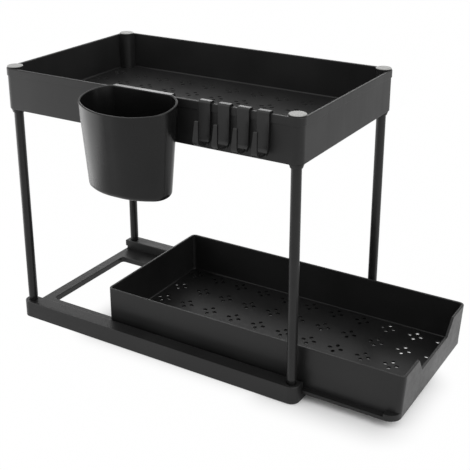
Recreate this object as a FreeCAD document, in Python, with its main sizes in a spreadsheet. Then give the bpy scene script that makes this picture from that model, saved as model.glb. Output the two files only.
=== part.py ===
# Two-tier under sink organizer: a base with drawer rails, four posts, an upper basket,
# a pull-out drawer, a hanging cup and four hanging hooks.
# Millimetres, +Z up. The origin is on the floor, under the middle of the base.
# +X is the way the drawer pulls out; the cup and the hooks hang on the -Y wall.
import FreeCAD, Part
import math
import os
from types import SimpleNamespace
import Sketcher

doc = FreeCAD.newDocument("under_sink_organizer")

driving = [
    # overall
    ("baseLength", 350, "outside length of the base and of the basket's rim"),
    ("baseWidth", 208, "outside width of the base and of the basket's rim"),
    ("rimHeight", 290, "floor to the basket's rim"),
    ("fitClearance", 0.1, "radial room of a plugged joint"),
    ("edgeRound", 0.8, "rounding of exposed moulded edges"),
    # foot pads
    ("padDiameter", 15, "foot pad across"),
    ("padThickness", 2, "foot pad thickness"),
    ("padProud", 1, "foot pad below the base"),
    # base
    ("railHeight", 18.5, "side rail, from the underside of the base"),
    ("railWidth", 16, "side rail across"),
    ("plateThickness", 6.5, "low ring that carries the drawer"),
    ("ledgeWidth", 23, "ring inside each rail"),
    ("endBarWidth", 12, "ring across each end"),
    ("baseCorner", 9, "corner radius of the base in plan"),
    ("openingCorner", 4, "corner radius of the opening in the ring"),
    ("slotDepth", 2.8, "drawer slot cut into each rail"),
    ("baseSkin", 2.2, "moulded wall over the hollow underside"),
    # posts
    ("postInset", 9, "post axis from the outside faces"),
    ("postDiameter", 10, "tube outside"),
    ("postWall", 1.2, "tube wall"),
    ("spigotStep", 0.8, "lower end of the tube drawn in, each side"),
    ("spigotTaper", 5, "length of the drawn-in cone"),
    ("socketDepth", 11, "spigot in the base"),
    ("socketMouth", 1.2, "bevel round the socket"),
    # basket
    ("basketDepth", 44.5, "rim to the lower edge"),
    ("basketWall", 2.2, "basket wall"),
    ("basketFloor", 1.8, "basket floor"),
    ("basketSkirt", 2, "lower edge below the floor"),
    ("basketCorner", 9, "corner radius of the rim in plan"),
    ("basketBottomRound", 1.5, "rounding of the lower edge"),
    ("basketInsideRound", 1.6, "rounding between floor and walls"),
    ("rimBand", 8, "height of the stepped band at the rim"),
    ("rimStep", 0.8, "band stands proud of the wall"),
    ("sleeveWall", 2.2, "wall of the corner bosses round the posts"),
    ("sleeveShoulder", 2, "stop over the post's top end"),
    ("collarLength", 4, "collar below the lower edge"),
    ("collarWall", 0.8, "wall at the collar's lower end"),
    # post caps
    ("capLip", 0.9, "cap beyond the boss wall"),
    ("capThickness", 1.8, "cap head"),
    ("capRound", 0.6, "rounding of the cap's upper edge"),
    ("capStem", 8, "cap stem in the tube, below the head"),
    # drawer
    ("drawerRearGap", 24, "base end to the drawer's rear when it is shut"),
    ("drawerHeight", 47, "outside height"),
    ("drawerSideGap", 4, "side wall to rail"),
    ("drawerWall", 2.5, "side wall"),
    ("drawerFloor", 1.8, "floor"),
    ("drawerCorner", 6, "corner radius in plan"),
    ("drawerLean", 3, "foot of the front wall behind its rim"),
    ("drawerInsideRound", 1.5, "rounding between floor and walls"),
    ("flangeThickness", 3.5, "runner flange"),
    ("flangeCorner", 12, "corner radius of the flange in plan"),
    ("slideClearance", 0.4, "room round the flange in its slot"),
    ("stopLength", 17, "front stop block along the flange"),
    ("stopHeight", 3, "front stop block above the flange"),
    ("drawerPull", 84.5, "how far the drawer stands pulled out"),
    ("drawerTravel", 190, "travel from stop to stop"),
    ("lugThickness", 4, "rear stop lug along the travel"),
    ("lugWidth", 60, "rear stop lug across"),
    ("lugHeight", 4, "rear stop lug below the floor"),
    ("notchTop", 96, "finger notch at the rim"),
    ("notchBottom", 71, "finger notch at its bottom"),
    ("notchDepth", 17.3, "finger notch below the rim"),
    ("notchCorner", 3, "rounding in the notch"),
    # drain holes in both floors, four petals to a flower
    ("holePitchX", 31.3, "flower spacing along the length"),
    ("holePitchY", 34, "flower spacing across"),
    ("holeMargin", 11, "flower centre to the nearest wall, at least"),
    ("petalOffset", 6.2, "petal centre from the flower's centre"),
    ("petalLength", 5, "petal, outwards"),
    ("petalWidth", 4, "petal, across"),
    # hanging cup
    ("cupWidth", 104.4, "across the mouth"),
    ("cupDepth", 56, "from the flat back to the front, at the mouth"),
    ("cupHeight", 95, "bottom to the back of the mouth"),
    ("cupDraft", 4.6, "lean of the sides, in degrees"),
    ("cupRimDrop", 11.6, "front of the mouth below its back"),
    ("cupBackWidth", 74, "flat back across, at the mouth, before rounding"),
    ("cupShoulder", 12, "back to where each side starts, before rounding"),
    ("cupSideFlat", 27, "straight run of each side, before rounding"),
    ("cupFrontFlat", 43, "straight run of the front, before rounding"),
    ("cupBackRound", 12, "rounding at both ends of the back"),
    ("cupSideRound", 24, "rounding at both ends of each side"),
    ("cupFrontRound", 66, "rounding at both ends of the front"),
    ("cupBottomRound", 6, "rounding of the bottom edge"),
    ("cupWall", 2.2, "wall and floor"),
    ("cupGap", 12.6, "cup to the first hook"),
    ("cupStrapWidth", 68, "hanger strap along the wall"),
    ("cupLeg", 10, "hanger leg inside the basket"),
    ("strapThickness", 2.3, "hanger straps of cup and hooks"),
    ("hangClearance", 0.3, "hanger strap to the basket's wall"),
    # hanging hooks
    ("hookWidth", 12.4, "strap width at the rim"),
    ("hookFoot", 10.8, "strap width at the trough"),
    ("hookPitch", 20.5, "hook to hook"),
    ("hookMargin", 37.5, "last hook's middle from the end of the basket"),
    ("hookLeg", 9, "leg inside the basket"),
    ("hookTrough", 36, "rim to the trough of the hook"),
    ("hookReach", 14, "strap to prong"),
    ("hookBend", 5, "inside radius of the bend"),
    ("prongHeight", 22.5, "prong above the trough"),
    ("prongBase", 6.6, "prong width at the bend"),
    ("prongTip", 3.6, "prong width at the tip"),
    ("hookRound", 0.4, "rounding of the long edges"),
    ("prongLean", 3, "tip nearer to the strap than the prong's foot"),
]
hookCount = 4  # hooks in the row
tiny = 1e-4  # lengths closer than this are the same

sheet = doc.addObject("Spreadsheet::Sheet", "Sizes")
for row, (name, value, note) in enumerate(driving, start=1):
    sheet.set(f"A{row}", name)
    sheet.set(f"B{row}", str(value))
    sheet.set(f"C{row}", note)
    sheet.setAlias(f"B{row}", name)
doc.recompute()


# A size keeps its sheet expression and its value side by side
class Size:
    def __init__(self, text, value):
        self.text = text
        self.value = value

    def join(self, sign, other, value):
        return Size(f"({self.text} {sign} {sized(other).text})", value)

    def __add__(self, other):
        return self.join("+", other, self.value + sized(other).value)

    def __sub__(self, other):
        return self.join("-", other, self.value - sized(other).value)

    def __mul__(self, other):
        return self.join("*", other, self.value * sized(other).value)

    def __truediv__(self, other):
        return self.join("/", other, self.value / sized(other).value)

    def __neg__(self):
        return self * -1


def sized(number):
    return number if isinstance(number, Size) else Size(f"({number})", number)


def wholeNumber(size):
    return Size(f"floor({size.text})", math.floor(size.value))


def smaller(one, other):
    return Size(f"min({one.text}; {other.text})", min(one.value, other.value))


# A rounding that leaves a tenth of the thickness flat between two of its kind
def within(rounding, thickness):
    return smaller(rounding, thickness * 0.45)


d = SimpleNamespace(**{name: Size(f"Sizes.{name}", sheet.get(name)) for name, value, note in driving})

# Levels and places that several pieces share
halfLength = d.baseLength / 2
halfWidth = d.baseWidth / 2
postX = halfLength - d.postInset
postY = halfWidth - d.postInset
corners = [(1, 1), (-1, 1), (-1, -1), (1, -1)]
railTop = d.padProud + d.railHeight
ledgeTop = d.padProud + d.plateThickness
railFace = halfWidth - d.railWidth
socketFloor = railTop - d.socketDepth
postBore = d.postDiameter - d.postWall * 2
spigotDiameter = d.postDiameter - d.spigotStep * 2
sleeveRadius = d.postDiameter / 2 + d.fitClearance + d.sleeveWall
rimThickness = d.rimStep + d.basketWall
rimFace = halfWidth + d.hangClearance
hangerInside = rimThickness + d.hangClearance * 2
slotHeight = d.flangeThickness + d.slideClearance * 2
drawerLength = d.baseLength + d.stopLength - d.drawerRearGap
capStemRadius = postBore / 2 - d.fitClearance


# Small tools for bodies, sketches and features
def newBody(label):
    body = doc.addObject("PartDesign::Body", label)
    body.Label = label
    return body


def bind(thing, path, size):
    thing.setExpression(path, sized(size).text)


def place(body, x=0, y=0, z=0):
    for axis, size in zip("xyz", (x, y, z)):
        bind(body, f"Placement.Base.{axis}", size)


def originPlane(body, role):
    return next(feature for feature in body.Origin.OriginFeatures if feature.Role == role)


def newSketch(body, name, role="XY_Plane", x=0, y=0, lift=0):
    sketch = body.newObject("Sketcher::SketchObject", name)
    sketch.AttachmentSupport = (originPlane(body, role), [""])
    sketch.MapMode = "FlatFace"
    for axis, size in zip("xyz", (x, y, lift)):
        bind(sketch, f"AttachmentOffset.Base.{axis}", size)
    return sketch


def fix(sketch, kind, geometry, point, size, name):
    parts = (geometry, sized(size).value) if point is None else (geometry, point, sized(size).value)
    index = sketch.addConstraint(Sketcher.Constraint(kind, *parts))
    sketch.renameConstraint(index, name)
    bind(sketch, f"Constraints.{name}", size)


# Closed outline through corners (x, y, radius); a radius of 0 leaves the corner sharp
def outline(sketch, points):
    count = len(points)
    start = sketch.GeometryCount
    spots = [FreeCAD.Vector(sized(x).value, sized(y).value, 0) for x, y, radius in points]
    ends = []
    bends = []
    for i, (x, y, radius) in enumerate(points):
        before = (spots[i - 1] - spots[i]).normalize()
        after = (spots[(i + 1) % count] - spots[i]).normalize()
        half = before.getAngle(after) / 2
        reach = sized(radius).value / math.tan(half)
        ends.append((spots[i] + before * reach, spots[i] + after * reach))
        middle = (before + after).normalize() * (sized(radius).value / math.sin(half))
        turnsLeft = (before.cross(after)).z < 0
        bends.append((spots[i] + middle, turnsLeft))
    for i in range(count):
        sketch.addGeometry(Part.LineSegment(ends[i][1], ends[(i + 1) % count][0]), False)
    for i, (x, y, radius) in enumerate(points):
        line, nextLine = start + (i - 1) % count, start + i
        tag = f"{start}_{i}"
        if sized(radius).value == 0:
            sketch.addConstraint(Sketcher.Constraint("Coincident", line, 2, nextLine, 1))
            fix(sketch, "DistanceX", nextLine, 1, x, f"x{tag}")
            fix(sketch, "DistanceY", nextLine, 1, y, f"y{tag}")
            continue
        centre, turnsLeft = bends[i]
        first, last = ends[i] if turnsLeft else reversed(ends[i])
        angles = [math.atan2(p.y - centre.y, p.x - centre.x) for p in (first, last)]
        circle = Part.Circle(centre, FreeCAD.Vector(0, 0, 1), sized(radius).value)
        arc = sketch.addGeometry(Part.ArcOfCircle(circle, *angles), False)
        enter, leave = (1, 2) if turnsLeft else (2, 1)
        sketch.addConstraint(Sketcher.Constraint("Tangent", line, 2, arc, enter))
        sketch.addConstraint(Sketcher.Constraint("Tangent", arc, leave, nextLine, 1))
        fix(sketch, "Radius", arc, None, radius, f"r{tag}")
        spot = sketch.addGeometry(Part.Point(spots[i]), True)
        fix(sketch, "DistanceX", spot, 1, x, f"x{tag}")
        fix(sketch, "DistanceY", spot, 1, y, f"y{tag}")
        sketch.addConstraint(Sketcher.Constraint("PointOnObject", spot, 1, line))
        sketch.addConstraint(Sketcher.Constraint("PointOnObject", spot, 1, nextLine))
    return sketch


def rectangle(sketch, length, width, radius=0):
    x, y = sized(length) / 2, sized(width) / 2
    return outline(sketch, [(-x, -y, radius), (x, -y, radius), (x, y, radius), (-x, y, radius)])


def circles(sketch, diameter, spots):
    for n, (x, y) in enumerate(spots):
        middle = FreeCAD.Vector(sized(x).value, sized(y).value, 0)
        radius = sized(diameter).value / 2
        ring = sketch.addGeometry(Part.Circle(middle, FreeCAD.Vector(0, 0, 1), radius), False)
        fix(sketch, "DistanceX", ring, 3, x, f"x{n}")
        fix(sketch, "DistanceY", ring, 3, y, f"y{n}")
        fix(sketch, "Diameter", ring, None, diameter, f"d{n}")
    return sketch


postSpots = [(postX * sx, postY * sy) for sx, sy in corners]
hookSpots = [halfLength - d.hookMargin - d.hookPitch * (hookCount - 1 - n) for n in range(hookCount)]
cupX = hookSpots[0] - d.hookWidth / 2 - d.cupGap - d.cupWidth / 2


def extrude(body, kind, sketch, length, back=False, both=False):
    feature = body.newObject(f"PartDesign::{kind}", f"{sketch.Name}{kind}")
    feature.Profile = sketch
    bind(feature, "Length", length)
    feature.Reversed = back
    if both:
        feature.SideType = "Symmetric"
    return feature


def turn(body, sketch):
    feature = body.newObject("PartDesign::Revolution", f"{sketch.Name}Turn")
    feature.Profile = sketch
    feature.ReferenceAxis = (sketch, ["V_Axis"])
    feature.Angle = 360
    return feature


# Dresses the edges of the body's newest feature that the test picks
def dress(body, kind, size, test):
    doc.recompute()
    base = body.Tip
    names = [f"Edge{n}" for n, edge in enumerate(base.Shape.Edges, start=1) if test(edge)]
    feature = body.newObject(f"PartDesign::{kind}", f"{base.Name}{kind}")
    feature.Base = (base, names)
    bind(feature, "Radius" if kind == "Fillet" else "Size", size)
    return feature


# Leans the faces that the test picks, about the body's own XY plane
def lean(body, angle, test):
    doc.recompute()
    base = body.Tip
    names = [f"Face{n}" for n, face in enumerate(base.Shape.Faces, start=1) if test(face)]
    feature = body.newObject("PartDesign::Draft", f"{base.Name}Lean")
    feature.Base = (base, names)
    feature.NeutralPlane = (originPlane(body, "XY_Plane"), [""])
    bind(feature, "Angle", angle)
    feature.Reversed = True
    return feature


# Hollows the body to a wall, open at the faces that the test picks
def hollow(body, wall, test):
    doc.recompute()
    base = body.Tip
    names = [f"Face{n}" for n, face in enumerate(base.Shape.Faces, start=1) if test(face)]
    feature = body.newObject("PartDesign::Thickness", f"{base.Name}Hollow")
    feature.Base = (base, names)
    bind(feature, "Value", wall)
    feature.Reversed = True
    return feature


def near(number, size):
    return abs(number - sized(size).value) < tiny


def level(edge, z):
    return near(edge.BoundBox.ZMin, z) and near(edge.BoundBox.ZMax, z)


# True for an edge on the outside faces of the base or the rim band, or on their corners
def outermost(edge):
    middle = edge.valueAt((edge.FirstParameter + edge.LastParameter) / 2)
    beyondX = abs(middle.x) - (halfLength - d.basketCorner).value
    beyondY = abs(middle.y) - (halfWidth - d.basketCorner).value
    return near(math.hypot(max(beyondX, 0), max(beyondY, 0)), d.basketCorner)


# Slot with round ends, its long way along (along, across)
def slot(sketch, x, y, along, across, length, width):
    start = sketch.GeometryCount
    tag = f"s{start}"
    radius = width / 2
    reach = (length - width) / 2
    middles = [(x + reach * along * end, y + reach * across * end) for end in (1, -1)]
    spots = [FreeCAD.Vector(px.value, py.value, 0) for px, py in middles]
    side = FreeCAD.Vector(-across, along, 0) * radius.value
    heading = math.atan2(across, along)
    for n, spot in enumerate(spots):
        circle = Part.Circle(spot, FreeCAD.Vector(0, 0, 1), radius.value)
        turnBy = heading + math.pi * n
        sketch.addGeometry(Part.ArcOfCircle(circle, turnBy - math.pi / 2, turnBy + math.pi / 2), False)
        fix(sketch, "DistanceX", start + n, 3, middles[n][0], f"x{tag}_{n}")
        fix(sketch, "DistanceY", start + n, 3, middles[n][1], f"y{tag}_{n}")
        fix(sketch, "Radius", start + n, None, radius, f"r{tag}_{n}")
    sketch.addGeometry(Part.LineSegment(spots[0] + side, spots[1] + side), False)
    sketch.addGeometry(Part.LineSegment(spots[1] - side, spots[0] - side), False)
    for n in (0, 1):
        arc, line, nextArc = start + n, start + 2 + n, start + 1 - n
        sketch.addConstraint(Sketcher.Constraint("Tangent", arc, 2, line, 1))
        sketch.addConstraint(Sketcher.Constraint("Tangent", line, 2, nextArc, 1))


# Flowers of four petal slots, repeated over a floor and centred on it
def drainHoles(body, floorTop, floorThickness, spanX, spanY):
    columns = wholeNumber((spanX - d.holeMargin * 2) / d.holePitchX) + 1
    rows = wholeNumber((spanY - d.holeMargin * 2) / d.holePitchY) + 1
    firstX = -(columns - 1) * d.holePitchX / 2
    firstY = -(rows - 1) * d.holePitchY / 2
    sketch = newSketch(body, "flower", x=firstX, y=firstY, lift=floorTop)
    for along, across in ((1, 0), (0, 1), (-1, 0), (0, -1)):
        x, y = d.petalOffset * along, d.petalOffset * across
        slot(sketch, x, y, along, across, d.petalLength, d.petalWidth)
    pocket = extrude(body, "Pocket", sketch, floorThickness)
    grid = body.newObject("PartDesign::LinearPattern", "flowers")
    grid.Originals = [pocket]
    grid.Direction = (sketch, ["H_Axis"])
    grid.Direction2 = (sketch, ["V_Axis"])
    grid.Mode = "Spacing"
    grid.Mode2 = "Spacing"
    bind(grid, "Offset", d.holePitchX)
    bind(grid, "Offset2", d.holePitchY)
    grid.Occurrences = columns.value
    grid.Occurrences2 = rows.value
    grid.Spacings = [-1] * (columns.value - 1)
    grid.Spacings2 = [-1] * (rows.value - 1)
    bind(grid, "Occurrences", columns)
    bind(grid, "Occurrences2", rows)
    body.Tip = grid
    return grid


# Base: a low ring with a tall rail along each side
def makeBase():
    body = newBody("base_frame")
    block = rectangle(newSketch(body, "block", lift=d.padProud), d.baseLength, d.baseWidth, d.baseCorner)
    extrude(body, "Pad", block, d.railHeight)
    through = d.baseLength + d.baseCorner * 2
    channel = rectangle(newSketch(body, "channel", lift=railTop), through, railFace * 2)
    extrude(body, "Pocket", channel, d.railHeight - d.plateThickness)
    opening = rectangle(
        newSketch(body, "opening", lift=ledgeTop),
        d.baseLength - d.endBarWidth * 2,
        (railFace - d.ledgeWidth) * 2,
        d.openingCorner,
    )
    extrude(body, "Pocket", opening, d.plateThickness)
    dress(body, "Fillet", d.edgeRound, lambda edge: level(edge, railTop))
    clearOfRails = (railFace - d.ledgeWidth / 2).value

    def roundOpening(edge):
        return level(edge, ledgeTop) and abs(edge.BoundBox.YMax) < clearOfRails

    dress(body, "Fillet", d.edgeRound, roundOpening)
    runway = newSketch(body, "runway", lift=ledgeTop + slotHeight)
    rectangle(runway, through, (railFace + d.slotDepth) * 2)
    extrude(body, "Pocket", runway, slotHeight)
    sockets = newSketch(body, "sockets", lift=railTop)
    circles(sockets, spigotDiameter + d.fitClearance * 2, postSpots)
    extrude(body, "Pocket", sockets, d.socketDepth)
    dress(body, "Chamfer", d.socketMouth, lambda edge: level(edge, railTop) and edge.Closed)
    recess = newSketch(body, "padRecess", lift=d.padProud)
    circles(recess, d.padDiameter + d.fitClearance * 2, postSpots)
    extrude(body, "Pocket", recess, d.padThickness - d.padProud, back=True)
    # hollow underside, between the sockets
    hollowLength = (postX - d.padDiameter / 2 - d.fitClearance - d.baseSkin) * 2
    railHollow = d.railWidth - d.slotDepth - d.baseSkin * 2
    ledgeHollow = d.ledgeWidth + d.slotDepth - d.baseSkin
    railMiddle = halfWidth - d.baseSkin - railHollow / 2
    ledgeMiddle = railFace - d.ledgeWidth + d.baseSkin + ledgeHollow / 2
    for side, word in ((1, "Left"), (-1, "Right")):
        under = newSketch(body, f"railHollow{word}", y=railMiddle * side, lift=d.padProud)
        rectangle(under, hollowLength, railHollow)
        extrude(body, "Pocket", under, d.railHeight - d.baseSkin, back=True)
        under = newSketch(body, f"ledgeHollow{word}", y=ledgeMiddle * side, lift=d.padProud)
        rectangle(under, hollowLength, ledgeHollow)
        extrude(body, "Pocket", under, d.plateThickness - d.baseSkin, back=True)
    return body


def makeFootPad(n, x, y):
    body = newBody(f"foot_pad_{n}")
    radius = d.padDiameter / 2
    bevel = d.padProud / 2
    top = d.padThickness
    profile = outline(
        newSketch(body, "profile", "XZ_Plane"),
        [(0, 0, 0), (radius - bevel, 0, 0), (radius, bevel, 0), (radius, top, 0), (0, top, 0)],
    )
    turn(body, profile)
    place(body, x, y)
    return body


# Post: a tube with a drawn-in solid lower end that plugs into the base
def makePost(n, x, y):
    body = newBody(f"post_{n}")
    radius, bore, spigot = d.postDiameter / 2, postBore / 2, spigotDiameter / 2
    length = d.rimHeight - d.sleeveShoulder - socketFloor
    neck = d.socketDepth + d.spigotTaper
    profile = outline(
        newSketch(body, "profile", "XZ_Plane"),
        [
            (0, 0, 0),
            (spigot, 0, 0),
            (spigot, d.socketDepth, 0),
            (radius, neck, d.spigotTaper),
            (radius, length, 0),
            (bore, length, 0),
            (bore, neck, 0),
            (0, neck, 0),
        ],
    )
    turn(body, profile)
    place(body, x, y, socketFloor)
    return body


def makePostCap(n, x, y):
    body = newBody(f"post_cap_{n}")
    head = sleeveRadius + d.capLip
    profile = outline(
        newSketch(body, "profile", "XZ_Plane"),
        [
            (0, -d.capStem, 0),
            (capStemRadius, -d.capStem, 0),
            (capStemRadius, 0, 0),
            (head, 0, 0),
            (head, d.capThickness, d.capRound),
            (0, d.capThickness, 0),
        ],
    )
    turn(body, profile)
    place(body, x, y, d.rimHeight)
    return body


# Basket: a tray with a stepped rim, and a boss in each corner that takes a post
def makeBasket():
    body = newBody("basket")
    floorTop = d.basketSkirt + d.basketFloor
    inside = d.rimStep + d.basketWall

    def plan(name, inset, z):
        sketch = newSketch(body, name, lift=z)
        return rectangle(sketch, d.baseLength - inset * 2, d.baseWidth - inset * 2, d.basketCorner - inset)

    extrude(body, "Pad", plan("outside", d.rimStep, 0), d.basketDepth)
    dress(body, "Fillet", d.basketBottomRound, lambda edge: level(edge, 0))
    extrude(body, "Pad", plan("band", sized(0), d.basketDepth - d.rimBand), d.rimBand)
    extrude(body, "Pocket", plan("inside", inside, d.basketDepth), d.basketDepth - floorTop)
    dress(body, "Fillet", within(d.edgeRound, d.basketWall), lambda edge: level(edge, d.basketDepth))
    bandFoot = d.basketDepth - d.rimBand
    dress(body, "Fillet", d.rimStep / 2, lambda edge: level(edge, bandFoot) and outermost(edge))
    dress(body, "Fillet", d.basketInsideRound, lambda edge: level(edge, floorTop))
    extrude(body, "Pocket", plan("underside", inside, 0), d.basketSkirt, back=True)
    # each boss is square in plan, round the post at its inner corner, and ends within the walls
    middle = d.rimStep + d.basketWall / 2
    wallX, wallY = halfLength - middle, halfWidth - middle
    bossX, bossY = postX - sleeveRadius, postY - sleeveRadius
    for n, (sx, sy) in enumerate(corners, start=1):
        boss = outline(
            newSketch(body, f"boss{n}"),
            [
                (bossX * sx, bossY * sy, sleeveRadius),
                (wallX * sx, bossY * sy, 0),
                (wallX * sx, wallY * sy, d.basketCorner - middle),
                (bossX * sx, wallY * sy, 0),
            ],
        )
        extrude(body, "Pad", boss, d.basketDepth)
    for n, (x, y) in enumerate(postSpots, start=1):
        collar = body.newObject("PartDesign::AdditiveCone", f"collar{n}")
        bind(collar, "Radius1", d.postDiameter / 2 + d.fitClearance + d.collarWall)
        bind(collar, "Radius2", sleeveRadius)
        bind(collar, "Height", d.collarLength)
        place(collar, x, y, -d.collarLength)
    bores = newSketch(body, "bores", lift=-d.collarLength)
    circles(bores, d.postDiameter + d.fitClearance * 2, postSpots)
    extrude(body, "Pocket", bores, d.collarLength + d.basketDepth - d.sleeveShoulder, back=True)
    stems = circles(newSketch(body, "stems", lift=d.basketDepth), postBore, postSpots)
    extrude(body, "Pocket", stems, d.sleeveShoulder)
    drainHoles(body, floorTop, d.basketFloor, d.baseLength - inside * 2, (postY - sleeveRadius) * 2)
    place(body, z=d.rimHeight - d.basketDepth)
    return body


# Drawer: an open tray with a leaning front and a runner flange along its lower edge
def makeDrawer():
    body = newBody("drawer")
    width = (railFace - d.drawerSideGap) * 2
    runner = (railFace + d.slotDepth - d.slideClearance) * 2
    front = drawerLength / 2
    foot = front - d.drawerLean
    insideRear = d.drawerWall - front
    insideLength = foot - d.drawerWall - insideRear
    insideWidth = width - d.drawerWall * 2
    high = d.drawerHeight

    def upright(edge, y):
        tall = edge.BoundBox.ZLength > high.value * 0.8
        return tall and near(abs(edge.BoundBox.YMax), y) and near(abs(edge.BoundBox.YMin), y)

    walls = newSketch(body, "walls", "XZ_Plane")
    outline(walls, [(-front, 0, 0), (foot, 0, 0), (front, high, 0), (-front, high, 0)])
    extrude(body, "Pad", walls, width, both=True)
    dress(body, "Fillet", d.drawerCorner, lambda edge: upright(edge, width / 2))
    flange = newSketch(body, "flange", x=-d.drawerLean / 2)
    rectangle(flange, drawerLength - d.drawerLean, runner, d.flangeCorner)
    extrude(body, "Pad", flange, d.flangeThickness)
    # stop blocks at the front of the flange, one each side; the tray's inside is cut after them
    rear = front - d.stopLength
    for side, word in ((1, "Left"), (-1, "Right")):
        inner, outer = (runner / 2 - d.flangeCorner - d.drawerWall) * side, runner / 2 * side
        stop = newSketch(body, f"stop{word}", lift=d.flangeThickness)
        outline(stop, [(rear, inner, 0), (foot, inner, 0), (foot, outer, d.flangeCorner), (rear, outer, 0)])
        extrude(body, "Pad", stop, d.stopHeight)
    inside = newSketch(body, "inside", "XZ_Plane")
    insideFoot = foot + d.drawerLean * d.drawerFloor / high - d.drawerWall
    insideFront = front - d.drawerWall
    low = d.drawerFloor
    outline(
        inside,
        [(insideRear, low, 0), (insideFoot, low, 0), (insideFront, high, 0), (insideRear, high, 0)],
    )
    extrude(body, "Pocket", inside, insideWidth, both=True)
    dress(body, "Fillet", d.drawerCorner - d.drawerWall, lambda edge: upright(edge, insideWidth / 2))
    dress(body, "Fillet", within(d.edgeRound, d.drawerWall), lambda edge: level(edge, high))
    dress(body, "Fillet", d.drawerInsideRound, lambda edge: level(edge, d.drawerFloor))
    # finger notch in the front wall
    notch = newSketch(body, "notch", "YZ_Plane", lift=front)
    dip = high - d.notchDepth
    above = high + d.drawerWall
    outline(
        notch,
        [
            (-d.notchTop / 2, above, 0),
            (-d.notchTop / 2, high, 0),
            (-d.notchBottom / 2, dip, d.notchCorner),
            (d.notchBottom / 2, dip, d.notchCorner),
            (d.notchTop / 2, high, 0),
            (d.notchTop / 2, above, 0),
        ],
    )
    extrude(body, "Pocket", notch, d.drawerWall * 2)
    # lug under the floor that meets the front bar when the drawer is right out
    drawerMiddle = halfLength + d.stopLength + d.drawerPull - front
    lugFront = halfLength - d.endBarWidth - (d.drawerTravel - d.drawerPull) - drawerMiddle
    lug = rectangle(newSketch(body, "lug", x=lugFront - d.lugThickness / 2), d.lugThickness, d.lugWidth)
    extrude(body, "Pad", lug, d.lugHeight, back=True)
    drainHoles(body, d.drawerFloor, d.drawerFloor, insideLength, insideWidth)
    place(body, drawerMiddle, z=ledgeTop + d.slideClearance)
    return body


# Cup: an oval pot with a flat back, a slanted mouth and a strap that hangs over the basket's rim
def makeCup():
    body = newBody("hanging_cup")
    half, back, front = d.cupWidth / 2, d.cupBackWidth / 2, d.cupFrontFlat / 2
    rightHand = [
        (front, -d.cupDepth, d.cupFrontRound),
        (half, -(d.cupShoulder + d.cupSideFlat), d.cupSideRound),
        (half, -d.cupShoulder, d.cupSideRound),
        (back, 0, 0),
    ]
    leftHand = [(-x, y, radius) for x, y, radius in reversed(rightHand)]
    extrude(body, "Pad", outline(newSketch(body, "plan"), leftHand + rightHand), d.cupHeight, back=True)

    def isSide(face):
        return near(face.BoundBox.ZLength, d.cupHeight) and face.BoundBox.YMin < -tiny

    lean(body, d.cupDraft, isSide)
    slant = newSketch(body, "slant", "YZ_Plane")
    beyond = d.cupDepth * 2
    outline(slant, [(0, 0, 0), (0, d.cupWall, 0), (-beyond, d.cupWall, 0), (-beyond, -d.cupRimDrop * 2, 0)])
    extrude(body, "Pocket", slant, d.cupWidth * 2, both=True)
    hollow(body, d.cupWall, lambda face: face.normalAt(0, 0).z > 0.5)

    def isBackCorner(edge, y):
        return edge.BoundBox.ZLength > d.cupHeight.value / 2 and near(edge.BoundBox.YMin, y)

    inner = -d.cupWall
    floorTop = d.cupWall - d.cupHeight
    dress(body, "Fillet", d.cupBackRound, lambda edge: isBackCorner(edge, 0))
    dress(body, "Fillet", d.cupBackRound - d.cupWall, lambda edge: isBackCorner(edge, inner))
    dress(body, "Fillet", d.cupBottomRound, lambda edge: level(edge, -d.cupHeight))
    dress(body, "Fillet", d.cupBottomRound - d.cupWall, lambda edge: level(edge, floorTop))
    fall = (d.cupRimDrop / d.cupDepth).value

    def onMouth(edge):
        first, last = edge.FirstParameter, edge.LastParameter
        spots = [edge.valueAt(at) for at in (first, (first + last) / 2, last)]
        return all(near(spot.z, spot.y * fall) for spot in spots)

    dress(body, "Fillet", within(d.edgeRound, d.cupWall), onMouth)
    thick = d.strapThickness
    strap = outline(
        newSketch(body, "strap", "YZ_Plane"),
        [
            (-d.cupWall, -d.cupLeg, 0),
            (0, -d.cupLeg, 0),
            (0, -thick, 0),
            (hangerInside, -thick, 0),
            (hangerInside, -d.cupLeg, 0),
            (hangerInside + thick, -d.cupLeg, 0),
            (hangerInside + thick, 0, thick),
            (-d.cupWall, 0, d.edgeRound),
        ],
    )
    extrude(body, "Pad", strap, d.cupStrapWidth, both=True)
    place(body, cupX, -rimFace, d.rimHeight + thick)
    return body


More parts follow.
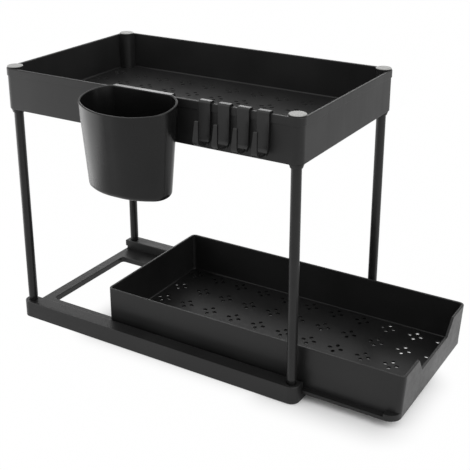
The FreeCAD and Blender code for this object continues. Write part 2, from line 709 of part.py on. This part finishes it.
# Hook: a strap over the rim with a bend at its lower end and a tapered prong
def makeHook(n):
    body = newBody(f"hook_{n + 1}")
    inside, thick = hangerInside, d.strapThickness
    prongIn = -thick - d.hookReach
    prongOut = prongIn - thick
    bend = within(d.hookBend, d.hookReach)
    tip = d.prongHeight - d.hookTrough
    bottom = -d.hookTrough - thick
    side = outline(
        newSketch(body, "side", "YZ_Plane"),
        [
            (inside, -d.hookLeg, 0),
            (inside + thick, -d.hookLeg, 0),
            (inside + thick, thick, thick),
            (-thick, thick, thick),
            (-thick, -d.hookTrough, bend),
            (prongIn, -d.hookTrough, bend),
            (prongIn + d.prongLean, tip, 0),
            (prongOut + d.prongLean, tip, thick / 2),
            (prongOut, bottom, bend + thick),
            (0, bottom, bend),
            (0, 0, 0),
            (inside, 0, 0),
        ],
    )
    extrude(body, "Pad", side, d.hookWidth, both=True)

    def isSideEdge(edge):
        return near(edge.BoundBox.XLength, 0) and near(abs(edge.BoundBox.XMin), d.hookWidth / 2)

    dress(body, "Fillet", d.hookRound, isSideEdge)
    # both sides of the strap, and then of the bend and prong, are cut back to a taper
    for hand, word in ((1, "Left"), (-1, "Right")):
        edge = newSketch(body, f"edge{word}", "XZ_Plane")
        outline(
            edge,
            [
                (d.hookWidth * hand / 2, -d.hookLeg, 0),
                (d.hookWidth * hand, -d.hookLeg, 0),
                (d.hookWidth * hand, bottom - thick, 0),
                (d.hookFoot * hand / 2, bottom - thick, 0),
            ],
        )
        extrude(body, "Pocket", edge, (d.hookReach + thick * 2) * 2 + d.prongLean, both=True)
        trim = newSketch(body, f"trim{word}", "XZ_Plane", lift=thick + bend / 2)
        outline(
            trim,
            [
                (d.prongBase * hand / 2, bottom - thick, 0),
                (d.hookWidth * hand, bottom - thick, 0),
                (d.hookWidth * hand, tip + thick, 0),
                (d.prongTip * hand / 2, tip + thick, 0),
                (d.prongTip * hand / 2, tip, 0),
                (d.prongBase * hand / 2, -d.hookTrough, 0),
            ],
        )
        extrude(body, "Pocket", trim, d.hookReach + thick, back=True)
    place(body, hookSpots[n], -rimFace, d.rimHeight)
    return body


pieces = [makeBase(), makeBasket(), makeDrawer(), makeCup()]
pieces += [makeHook(n) for n in range(hookCount)]
for n, (x, y) in enumerate(postSpots, start=1):
    pieces += [makePost(n, x, y), makePostCap(n, x, y), makeFootPad(n, x, y)]
doc.recompute()

for thing in doc.Objects:
    if "Invalid" in thing.State or "Error" in thing.State:
        raise RuntimeError(f"{thing.Label} failed: {thing.State}")
for piece in pieces:
    solids = piece.Shape.Solids
    if len(solids) != 1 or not solids[0].isClosed():
        raise RuntimeError(f"{piece.Label} is not one closed solid")
    # a grid of holes is slow to examine, so such a piece is examined with its first flower only
    last = piece.Tip.BaseFeature if piece.Tip.Name.startswith("flowers") else piece.Tip
    if not last.Shape.isValid():
        raise RuntimeError(f"{piece.Label} is not valid")

os.makedirs("parts", exist_ok=True)
for piece in pieces:
    piece.Shape.exportStep(f"parts/{piece.Label}.step")
    print(piece.Label, round(piece.Shape.Volume), "mm3")
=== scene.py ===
import math
import bpy
import numpy as np
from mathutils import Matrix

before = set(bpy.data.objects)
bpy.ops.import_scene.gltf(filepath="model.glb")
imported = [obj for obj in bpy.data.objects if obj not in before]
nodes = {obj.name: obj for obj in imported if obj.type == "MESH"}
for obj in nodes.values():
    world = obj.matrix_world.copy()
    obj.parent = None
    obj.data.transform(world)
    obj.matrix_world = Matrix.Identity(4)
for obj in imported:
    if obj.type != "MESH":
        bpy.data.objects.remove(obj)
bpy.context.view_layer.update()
print("frame loaded,", len(nodes), "nodes")


# Shader helpers
def newMaterial(name):
    material = bpy.data.materials.new(name)
    material.use_nodes = True
    tree = material.node_tree
    return material, tree.nodes, tree.links, tree.nodes["Principled BSDF"]


def noiseNode(nodeSet, links, coords, scale, detail, roughness=0.5):
    noise = nodeSet.new("ShaderNodeTexNoise")
    noise.inputs["Scale"].default_value = scale
    noise.inputs["Detail"].default_value = detail
    noise.inputs["Roughness"].default_value = roughness
    links.new(coords, noise.inputs["Vector"])
    return noise.outputs["Fac"]


def rangeNode(nodeSet, links, value, start, end, low, high):  # start..end of the value becomes low..high
    ramp = nodeSet.new("ShaderNodeMapRange")
    ramp.inputs["From Min"].default_value = start
    ramp.inputs["From Max"].default_value = end
    ramp.inputs["To Min"].default_value = low
    ramp.inputs["To Max"].default_value = high
    links.new(value, ramp.inputs["Value"])
    return ramp


def mathNode(nodeSet, links, operation, first, second):
    node = nodeSet.new("ShaderNodeMath")
    node.operation = operation
    links.new(first, node.inputs[0])
    links.new(second, node.inputs[1])
    return node.outputs[0]


def vectorNode(nodeSet, links, operation, vector, constant=(0, 0, 0)):
    node = nodeSet.new("ShaderNodeVectorMath")
    node.operation = operation
    node.inputs[1].default_value = constant
    links.new(vector, node.inputs[0])
    return node.outputs["Value" if operation == "LENGTH" else "Vector"]


def twoTones(nodeSet, links, value, look):  # colour from dark to light over the middle of a noise
    ramp = nodeSet.new("ShaderNodeValToRGB")
    tones = (look["dark"], look["light"])
    for element, place, tone in zip(ramp.color_ramp.elements, look["toneSpan"], tones):
        element.position = place
        element.color = (*tone, 1)
    links.new(value, ramp.inputs["Fac"])
    return ramp.outputs["Color"]


def stretched(nodeSet, links, coords, scales):  # coordinates drawn out along the axis with the small scale
    mapping = nodeSet.new("ShaderNodeMapping")
    mapping.inputs["Scale"].default_value = scales
    links.new(coords, mapping.inputs["Vector"])
    return mapping.outputs["Vector"]


def bumpNode(nodeSet, links, height, strength, depth):
    bump = nodeSet.new("ShaderNodeBump")
    bump.inputs["Strength"].default_value = strength
    bump.inputs["Distance"].default_value = depth
    links.new(height, bump.inputs["Height"])
    return bump


# Moulded plastic: melt-flow clouds in tone and gloss, drawn-out streaks, wavy walls and a fine grain
def mouldedPlastic(name, look):
    material, nodeSet, links, shader = newMaterial(name)
    coords = nodeSet.new("ShaderNodeTexCoord").outputs["Object"]
    flow = noiseNode(nodeSet, links, coords, look["flowScale"], look["flowDetail"])
    streakCoords = stretched(nodeSet, links, coords, look["streaks"])
    streak = noiseNode(nodeSet, links, streakCoords, 1, look["streakDetail"], look["streakFineness"])
    grain = noiseNode(nodeSet, links, coords, look["grainScale"], look["grainDetail"])
    links.new(twoTones(nodeSet, links, flow, look), shader.inputs["Base Color"])
    span, swing = look["glossSpan"], look["streakGloss"]
    clouds = rangeNode(nodeSet, links, flow, *span, *look["gloss"]).outputs["Result"]
    lines = rangeNode(nodeSet, links, streak, *span, -swing, swing).outputs["Result"]
    links.new(mathNode(nodeSet, links, "ADD", clouds, lines), shader.inputs["Roughness"])
    waves = bumpNode(nodeSet, links, flow, look["waveStrength"], look["waveDepth"])
    skin = bumpNode(nodeSet, links, grain, look["grainStrength"], look["grainDepth"])
    links.new(waves.outputs["Normal"], skin.inputs["Normal"])
    links.new(skin.outputs["Normal"], shader.inputs["Normal"])
    shader.inputs["IOR"].default_value = look["ior"]
    return material


def finish(material, *names):
    for name in names:
        nodes[name].data.materials.clear()
        nodes[name].data.materials.append(material)


def numbered(stem):  # the four nodes of a piece that repeats
    return [f"{stem}_{n}" for n in (1, 2, 3, 4)]


basketLook = {
    "dark": (0.008, 0.008, 0.008), "light": (0.012, 0.012, 0.012), "toneSpan": (0.32, 0.68),
    "gloss": (0.4, 0.5), "glossSpan": (0.3, 0.7), "ior": 1.36,  # a span is the part of a noise in use
    "flowScale": 14, "flowDetail": 3, "waveStrength": 0.2, "waveDepth": 0.0006,
    "streaks": (150, 150, 7), "streakDetail": 4, "streakFineness": 0.6, "streakGloss": 0.015,
    "grainScale": 1600, "grainDetail": 2, "grainStrength": 0.12, "grainDepth": 0.0002,
}
finish(mouldedPlastic("basketMoulding", basketLook), "basket")

drawerLook = dict(basketLook, gloss=(0.3, 0.4), flowScale=11, streaks=(6, 170, 170), streakGloss=0.04)
finish(mouldedPlastic("drawerMoulding", drawerLook), "drawer")

baseLook = dict(basketLook, gloss=(0.36, 0.46), flowScale=17, streaks=(5, 220, 220), streakGloss=0.05)
finish(mouldedPlastic("baseMoulding", baseLook), "base_frame")

cupLook = dict(
    basketLook, dark=(0.005, 0.005, 0.005), light=(0.008, 0.008, 0.008), gloss=(0.2, 0.28), flowScale=20,
    streaks=(130, 130, 9), ior=1.32,
)
finish(mouldedPlastic("cupMoulding", cupLook), "hanging_cup")

hookLook = dict(
    basketLook, gloss=(0.28, 0.38), flowScale=60, streaks=(400, 90, 60), waveStrength=0.1, ior=1.39,
)
finish(mouldedPlastic("hookMoulding", hookLook), *numbered("hook"))

capLook = dict(
    basketLook, dark=(0.34, 0.34, 0.33), light=(0.41, 0.41, 0.40), gloss=(0.42, 0.52), flowScale=90,
    streaks=(300, 300, 300), waveStrength=0.1,
    paintedSideShade=(0.012, 0.012, 0.012), sideEnd=0.2911, topStart=0.2913,  # heights where the near-black side, which is painted shade, turns to the grey top
)


def capWithPaintedSideShade(name, look):  # the moulded plastic, with its tone kept for the top of the head and the side below painted near-black as painted shade
    material = mouldedPlastic(name, look)
    nodeSet, links = material.node_tree.nodes, material.node_tree.links
    shader = nodeSet["Principled BSDF"]
    topTone = shader.inputs["Base Color"].links[0].from_socket
    place = nodeSet.new("ShaderNodeSeparateXYZ")
    links.new(nodeSet["Texture Coordinate"].outputs["Object"], place.inputs[0])
    onTop = rangeNode(nodeSet, links, place.outputs["Z"], look["sideEnd"], look["topStart"], 0, 1)
    # painted shade: below sideEnd the side of the head gets a near-black tone in place of the grey
    mix = nodeSet.new("ShaderNodeMix")
    mix.data_type = "RGBA"
    mix.inputs["A"].default_value = (*look["paintedSideShade"], 1)
    links.new(onTop.outputs["Result"], mix.inputs["Factor"])
    links.new(topTone, mix.inputs["B"])
    links.new(mix.outputs["Result"], shader.inputs["Base Color"])
    return material


finish(capWithPaintedSideShade("capMoulding", capLook), *numbered("post_cap"))

postLook = dict(
    basketLook, gloss=(0.26, 0.36), flowScale=40, streaks=(420, 420, 4), streakGloss=0.04,
    waveStrength=0.08, grainScale=700, grainStrength=0.08,
)
finish(mouldedPlastic("postCoating", postLook), *numbered("post"))

padLook = dict(
    basketLook, gloss=(0.7, 0.85), flowScale=120, streaks=(350, 350, 350), grainScale=900,
    grainStrength=0.3,
)
finish(mouldedPlastic("padRubber", padLook), *numbered("foot_pad"))
print("materials on", len(nodes), "nodes")


# Floor: shaded under the object, and white to the camera and in reflections further out
floorLook = {
    "size": 40.0, "tone": 0.9, "roughness": 0.9,
    # middle and half size of the shaded patches, one under the object and one under the drawer's end
    "shade": [((0.06, 0.0, 0.0), (0.13, 0.075, 1.0)), ((0.2, -0.045, 0.0), (0.05, 0.04, 1.0))],
    "glowNear": 0.02, "glowFar": 0.99, "glowReach": 0.05,  # share of white in a patch and this far from it
}


def addThing(name, data):
    thing = bpy.data.objects.new(name, data)
    bpy.context.scene.collection.objects.link(thing)
    return thing


def flatGrid(name, sizeX, sizeY, z):  # z is constant over a square of two parameters
    u, v = np.meshgrid([-0.5, 0.5], [-0.5, 0.5])
    points = np.stack([u * sizeX, v * sizeY, np.full_like(u, z)], axis=-1).reshape(-1, 3)
    mesh = bpy.data.meshes.new(name)
    mesh.from_pydata(points.tolist(), [], [(0, 1, 3, 2)])
    return addThing(name, mesh)


def seenDirectly(nodeSet, links):  # 1 for camera, glossy and transmission rays, 0 for the rest
    path = nodeSet.new("ShaderNodeLightPath").outputs
    either = mathNode(nodeSet, links, "MAXIMUM", path["Is Camera Ray"], path["Is Glossy Ray"])
    return mathNode(nodeSet, links, "MAXIMUM", either, path["Is Transmission Ray"])


# Distance from a rectangle of floor: the length of what is left of |place - middle| beyond half its size
def beyondPatch(nodeSet, links, place, middle, half):
    beyond = vectorNode(nodeSet, links, "SUBTRACT", place, middle)
    beyond = vectorNode(nodeSet, links, "ABSOLUTE", beyond)
    beyond = vectorNode(nodeSet, links, "SUBTRACT", beyond, half)
    beyond = vectorNode(nodeSet, links, "MAXIMUM", beyond)
    return vectorNode(nodeSet, links, "LENGTH", beyond)


def paleFloor(name, look):
    material, nodeSet, links, shader = newMaterial(name)
    shader.inputs["Base Color"].default_value = (look["tone"], look["tone"], look["tone"], 1)
    shader.inputs["Roughness"].default_value = look["roughness"]
    shader.inputs["Specular IOR Level"].default_value = 0
    glow = nodeSet.new("ShaderNodeEmission")
    glow.inputs["Color"].default_value = (1, 1, 1, 1)
    place = nodeSet.new("ShaderNodeTexCoord").outputs["Object"]
    distances = [beyondPatch(nodeSet, links, place, *patch) for patch in look["shade"]]
    nearest = mathNode(nodeSet, links, "MINIMUM", *distances)
    share = rangeNode(nodeSet, links, nearest, 0, look["glowReach"], look["glowNear"], look["glowFar"])
    share.interpolation_type = "SMOOTHSTEP"
    seen = mathNode(nodeSet, links, "MULTIPLY", seenDirectly(nodeSet, links), share.outputs["Result"])
    blend = nodeSet.new("ShaderNodeMixShader")
    links.new(seen, blend.inputs[0])
    links.new(shader.outputs[0], blend.inputs[1])
    links.new(glow.outputs[0], blend.inputs[2])
    links.new(blend.outputs[0], nodeSet["Material Output"].inputs["Surface"])
    return material


floor = flatGrid("studioFloor", floorLook["size"], floorLook["size"], 0.0)
floor.data.materials.append(paleFloor("paleFloor", floorLook))
print("floor laid")

# Light: an even white sky, four soft suns and a panel
sky = {"light": 0.6, "seen": 1.0}  # brightness as a light, and to the camera and in reflections
world = bpy.data.worlds.new("studioWorld")
bpy.context.scene.world = world
world.use_nodes = True
skyNodes, skyLinks = world.node_tree.nodes, world.node_tree.links
level = rangeNode(skyNodes, skyLinks, seenDirectly(skyNodes, skyLinks), 0, 1, sky["light"], sky["seen"])
background = skyNodes["Background"]
background.inputs["Color"].default_value = (1, 1, 1, 1)
skyLinks.new(level.outputs["Result"], background.inputs["Strength"])

suns = {  # the way from the object to the lamp, its spread in degrees and its power
    "keySun": ((1.0, -0.2, 1.3), 50, 0.9),
    "fillSun": ((-0.9, -0.8, 1.2), 60, 0.4),
    "rimSun": ((-0.505, 0.816, 0.29), 16, 0.15),
    "rightSun": ((1.0, -0.25, 0.12), 25, 0.4),
}
for name, ((x, y, z), spreadAngle, power) in suns.items():
    sun = bpy.data.lights.new(name, "SUN")
    sun.energy = power
    sun.angle = math.radians(spreadAngle)
    sunLight = addThing(name, sun)
    sunLight.location = (x, y, z)
    sunLight.rotation_euler = (math.atan2(math.hypot(x, y), z), 0, math.atan2(y, x) + math.pi / 2)

# a soft light panel stands on the floor left of the organizer and faces it
panel = {"middle": (-0.42, -0.25, 0.14), "height": 0.28, "length": 0.6, "whiteness": 1.6}
lamp = bpy.data.lights.new("leftPanel", "AREA")
lamp.shape = "RECTANGLE"
lamp.size, lamp.size_y = panel["height"], panel["length"]
lamp.energy = panel["whiteness"] * math.pi * panel["height"] * panel["length"]  # watts for that brightness
panelLight = addThing("leftPanel", lamp)
panelLight.location = panel["middle"]
panelLight.rotation_euler = (0, -math.pi / 2, 0)
panelLight.visible_camera = False
print("studio lit")

shot = {
    "place": (0.53346, -0.80466, 0.53373), "yaw": 31.3, "pitch": -19.95,  # metres and degrees
    "sensor": 36, "lens": 73.13, "shiftY": -0.15, "clipStart": 0.01,
}
lens = bpy.data.cameras.new("photoCamera")
lens.sensor_width = shot["sensor"]
lens.lens = shot["lens"]
lens.shift_y = shot["shiftY"]
lens.clip_start = shot["clipStart"]
camera = addThing("photoCamera", lens)
camera.location = shot["place"]
camera.rotation_euler = (math.radians(90 + shot["pitch"]), 0, math.radians(shot["yaw"]))
bpy.context.scene.camera = camera
bpy.context.scene.view_settings.view_transform = "Standard"
print("camera set")
